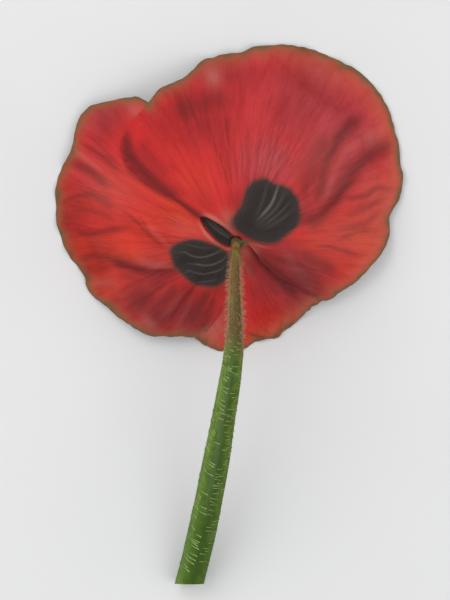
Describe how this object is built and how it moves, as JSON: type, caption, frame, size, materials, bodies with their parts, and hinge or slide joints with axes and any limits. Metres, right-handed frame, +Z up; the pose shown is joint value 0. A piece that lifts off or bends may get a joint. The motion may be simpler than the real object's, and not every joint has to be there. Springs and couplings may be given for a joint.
{
  "type": "poppy flower",
  "caption": "Cut corn poppy lying face down: a shallow bowl of layered, waved red petals over a rayed pistil and stamens, with a bent green stem.",
  "frame": {"origin": "middle of the flower's box, on the surface it lies on", "axes": "+Z up from the surface; +Y from the stem's cut end towards the flower; +X to the right as seen from above with the flower at the top"},
  "size_m": [0.0878, 0.1359, 0.0364],
  "materials": {
    "petal_red": "matte",
    "stem_green": "matte",
    "ovary_green": "matte",
    "stigma_plum": "matte",
    "stamen_dark": "matte"
  },
  "bodies": {
    "root": {"petal_outer_left": "petal_red", "petal_outer_right": "petal_red", "petal_inner_upper": "petal_red", "petal_inner_lower": "petal_red", "stem": "stem_green", "ovary": "ovary_green", "stigma_disc": "stigma_plum", "stamens": "stamen_dark"}
  },
  "joints": []
}
